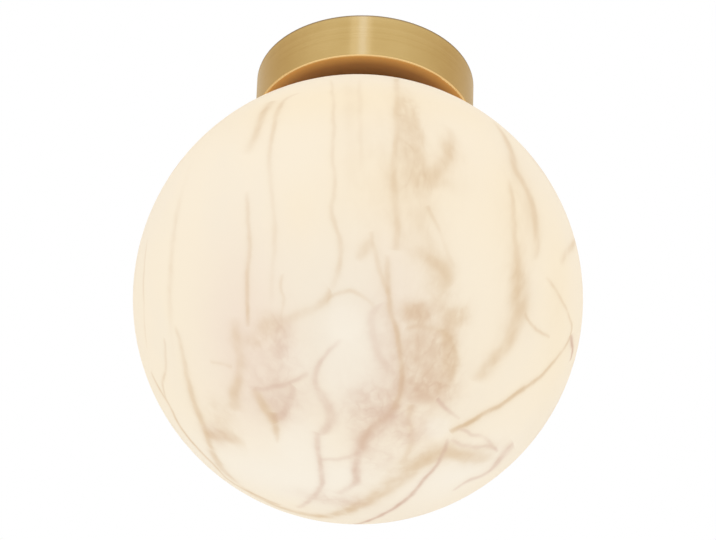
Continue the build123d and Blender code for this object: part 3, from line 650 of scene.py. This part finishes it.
# Broad drifts of the ground: tone, then patches as above
ground_drifts = {
    "honey top": (ground_honey, [((357, 96), (190, 46), 0, 0.9), ((560, 300), (30, 120), 0, 0.5),
                                 ((394, 190), (60, 56), 0, 0.6), ((510, 200), (46, 70), 0, 0.6),
                                 ((298, 214), (20, 30), 0, 0.35)]),
    "grey heart": (ground_grey, [((352, 335), (84, 90), 0, 0.9)]),
    "pink side": (ground_pink, [((242, 340), (42, 84), 4, 0.9), ((396, 300), (24, 60), 0, 0.4)]),
    "pale foot": (ground_pale, [((300, 478), (150, 44), 0, 0.95),
                                ((468, 470), (60, 40), 30, 0.7)]),
    "pale cells": (ground_pale, [((352, 365), (30, 38), 0, 0.5, 3),
                                 ((300, 445), (26, 30), 0, 0.6, 3),
                                 ((438, 428), (14, 13), 0, 0.6, 3),
                                 ((345, 322), (20, 18), 0, 0.5, 3),
                                 ((294, 360), (16, 16), 0, 0.4, 3),
                                 ((345, 475), (14, 12), 0, 0.5, 3)]),
}

# Drifts of the map, as scale and amount: broad bends, small ones and a fine raggedness
map_drifts = ((6, 0.036), (22, 0.008), (80, 0.004))
# Hidden half: scale, sharpness and seed of each field whose middle values draw veins, where on
# the map these come in, and how much they add to each kind of vein
hidden_fields = ((2.1, 26, 3.1), (3.4, 34, 7.7))
hidden_start = 1.38
hidden_full = 1.62
hidden_tan = 0.35
hidden_rose = 0.15
# How much the patterns are drawn out up and down
hidden_stretch = (1.0, 1.0, 0.55)
smoke_stretch = (1.0, 1.0, 0.4)
drift_stretch = (1.0, 1.0, 0.6)
# The smoke's web of fine threads: its sharpness and its part in the smoke
web_sharpness = 13
web_share = 0.36
glass_grain = 900


def three_step(values, reach):
    """Value at a share of the way along, from those at the start, middle and end."""
    if reach < 0.5:
        return values[0] + (values[1] - values[0]) * reach * 2
    return values[1] + (values[2] - values[1]) * (reach * 2 - 1)


def sum_of(values):
    """Adds each value as soon as it is made, so that few wait in the renderer's memory."""
    values = iter(values)
    total = next(values)
    for value in values:
        total = total + value
    return total


class Marble(Finish):
    """Opal glass whose veins lie on a flat map of the globe, wrapped round it."""

    def __init__(self):
        super().__init__("marble glass", roughness=0.62, specular_ior_level=0.2)
        middle = self.vector("SUBTRACT", self.place(), globe_centre)
        self.spot = self.vector("NORMALIZE", middle)
        towards, across, above = (
            self.vector("DOT_PRODUCT", self.spot, axis, output="Value")
            for axis in (view.middle, view.map_right, view.map_up)
        )
        reach = (across * across + above * above).math("SQRT").math("MAXIMUM", 0.0001)
        self.out = towards.math("ARCCOSINE")
        stretch = self.out / reach
        self.x = across * stretch
        self.y = above * stretch
        for scale, amount in map_drifts:
            drift = self.split(self.noise(self.spot, scale, detail=2, output="Color"))
            self.x = self.x + (drift[0] - 0.5) * amount
            self.y = self.y + (drift[1] - 0.5) * amount

    def measured(self, start, direction, unit):
        """Distance on the map from a start along a direction, in a unit."""
        rise = self.y.math("MULTIPLY_ADD", direction.y / unit, -start.dot(direction) / unit)
        return self.x.math("MULTIPLY_ADD", direction.x / unit, rise)

    def vein(self, widths, strengths, route):
        """One vein along its chord: how far it bows, how sharp it is and how strong."""
        points = [view.on_map(pixel) for pixel in route]
        chord = points[-1] - points[0]
        length = chord.length
        along = chord / length
        across = Vector((-along.y, along.x))
        steps = []
        for point in points:
            step = point - points[0]
            steps.append((step.dot(along) / length, step.dot(across) / length))
        sharpness = []
        for index, (reach, bow) in enumerate(steps):
            before = steps[max(index - 1, 0)]
            after = steps[min(index + 1, len(steps) - 1)]
            slope = (after[1] - before[1]) / max(after[0] - before[0], 0.01)
            width = three_step(widths, reach) * vein_breadth / globe_pixels
            sharpness.append((reach, 1 / (math.hypot(1, slope) * width)))
        sharpest = max(sharp for reach, sharp in sharpness)
        # a curve node holds values from 0 to 1, so the bow lies round 0.5 and sharpness is a share
        bows = [(reach, 0.5 + bow) for reach, bow in steps]
        sharpness = [(reach, sharp / sharpest) for reach, sharp in sharpness]
        ease = band_ease if max(widths) > line_width else line_ease
        stations = (ease, 0.35, 0.5, 0.65, 1 - ease)
        fades = [(reach, three_step(strengths, reach)) for reach in stations]
        fades = [(0, 0), *fades, (1, 0)]
        reach = self.measured(points[0], along, length)
        aside = self.measured(points[0], across, length)
        off = (aside - self.curve(reach, bows) + 0.5) * self.curve(reach, sharpness)
        off = off * (length * sharpest)
        return self.curve(reach, fades) / ((off * off) ** 1.5 + 1)

    def patch(self, pixel, half, lean, strength, firmness=1):
        """An oval cloud, soft or with a firmer edge."""
        middle = view.on_map(pixel)
        along = Vector((math.cos(math.radians(lean)), math.sin(math.radians(lean))))
        across = Vector((-along.y, along.x))
        wide = self.measured(middle, along, half[0] / globe_pixels)
        high = self.measured(middle, across, half[1] / globe_pixels)
        size = wide * wide + high * high
        if firmness == 1:
            return (size * patch_fall).math("EXPONENT") * strength
        return strength / (size ** firmness + 1)

    def total(self, veins, patches, smoke, grain):
        """Veins broken up by a grain, and patches by smoke."""
        lines = sum_of(self.vein(*row) for row in veins.values())
        clouds = sum_of(self.patch(*row) for row in patches.values())
        return lines * grain + clouds * smoke

    def hidden_veins(self):
        """Veins of the same kind on the side that the photograph doesn't show."""
        stretched = self.vector("MULTIPLY", self.spot, hidden_stretch)
        lines = []
        for scale, sharp, seed in hidden_fields:
            moved = self.vector("ADD", stretched, (seed, -seed, seed * 0.5))
            field = self.noise(moved, scale=scale, detail=4, roughness=0.55)
            ridge = 1 - ((field - 0.5) * sharp).math("ABSOLUTE")
            presence = self.spread(self.noise(moved, scale=1.6, detail=2), 0.42, 0.6)
            lines.append(ridge.math("MAXIMUM", 0) * presence)
        return sum_of(lines) * self.spread(self.out, hidden_start, hidden_full)


def marble_glass():
    """The globe's finish: a milky ground, smoky patches and two kinds of vein."""
    glass = Marble()
    upright = glass.vector("MULTIPLY", glass.spot, smoke_stretch)
    field = glass.noise(upright, scale=13, detail=2, roughness=0.45)
    web = (1 - ((field - 0.5) * web_sharpness).math("ABSOLUTE")).math("MAXIMUM", 0)
    puffs = glass.spread(glass.noise(upright, scale=17, detail=3, roughness=0.5), 0.34, 0.66, 0.45, 1.3)
    smoke = puffs + web * web_share
    grain = glass.spread(field, 0.34, 0.66, 0.6, 1.4)
    drawn = glass.vector("MULTIPLY", glass.spot, drift_stretch)
    drift = glass.noise(drawn, scale=2.2, detail=3)
    ground = glass.blend(glass.spread(drift, 0.45, 0.75, 0, 0.5), ground_cream, ground_grey)
    for tone, places in ground_drifts.values():
        ground = glass.blend(sum_of([glass.patch(*row) for row in places]), ground, tone)
    hidden = glass.hidden_veins()
    tan = glass.total(tan_veins, tan_patches, smoke, grain) + hidden * hidden_tan
    rose = glass.total(rose_veins, rose_patches, smoke, grain) + hidden * hidden_rose
    tone = glass.blend(1 - (tan * -vein_density).math("EXPONENT"), ground, vein_tan)
    tone = glass.blend(1 - (rose * -vein_density).math("EXPONENT"), tone, vein_rose)
    glass.set(base_color=tone)
    fine = glass.noise(glass.place(), scale=glass_grain, detail=3, roughness=0.6)
    glass.set(roughness=glass.spread(fine, 0.3, 0.7, 0.56, 0.68))
    glass.set(normal=glass.bump(fine, skin_depth))
    return glass.material


def dress(material, *names):
    """Gives a finish to CAD nodes in place of their plain one."""
    for name in names:
        slots = nodes[name].data.materials
        slots.clear()
        slots.append(material)


def add_world():
    """A white studio: plain light for what it falls on, full white where it is seen."""
    world = bpy.data.worlds.new("studio")
    world.use_nodes = True
    studio = Sheet(world.node_tree)
    camera, glossy, transmission = (
        studio.node("LightPath", {}, {}, "Is " + kind + " Ray")
        for kind in ("Camera", "Glossy", "Transmission")
    )
    depth = studio.split(studio.node("TexCoord", {}, {}, "Generated"))[1]
    behind = glossy * studio.spread(depth, back_start, back_full)
    background = world.node_tree.nodes["Background"].inputs
    studio.put(background["Color"], studio.blend(behind, white, room_back))
    seen = camera + glossy + transmission
    studio.put(background["Strength"], studio.spread(seen, 0, 1, room_light, 1))
    bpy.context.scene.world = world


def add_lamps():
    """Two upright cool strips in front and above, which draw the pale band down the brass."""
    for name, (degrees, distance, width, brightness, colour) in lamps.items():
        turn = math.radians(degrees)
        level = Vector((math.sin(turn), -math.cos(turn), 0)) * math.cos(lamp_rise)
        out = level + Vector((0, 0, math.sin(lamp_rise)))
        data = bpy.data.lights.new(name, "AREA")
        data.shape = "RECTANGLE"
        data.size = width
        data.size_y = lamp_height
        data.color = colour
        # watts that make the strip as bright as this share of the room's white
        data.energy = brightness * math.pi * width * lamp_height
        lamp = bpy.data.objects.new(name, data)
        lamp.location = out * distance
        lamp.rotation_euler = (-out).to_track_quat("-Z", "Y").to_euler()
        lamp.visible_camera = False
        bpy.context.scene.collection.objects.link(lamp)


def add_floor():
    """A pale floor, far enough down to leave a view from below clear."""
    mesh = bpy.data.meshes.new("floor")
    half = floor_size / 2
    corners = [(-half, -half, 0), (half, -half, 0), (half, half, 0), (-half, half, 0)]
    mesh.from_pydata(corners, [], [(0, 1, 2, 3)])
    floor = bpy.data.objects.new("floor", mesh)
    floor.location.z = -floor_drop
    pale = Finish("pale floor", roughness=0.9, specular_ior_level=0)
    patches = pale.noise(pale.place(), scale=0.8, detail=3)
    pale.set(base_color=pale.blend(patches, floor_pale, white))
    mesh.materials.append(pale.material)
    bpy.context.scene.collection.objects.link(floor)


make_camera()
add_world()
add_lamps()
add_floor()
dress(brushed_brass(), "canopy", "gallery_ring")
dress(marble_glass(), "globe_glass")
for finish, names in plain_finishes:
    dress(finish, *names)

bpy.context.scene.view_settings.view_transform = "Standard"
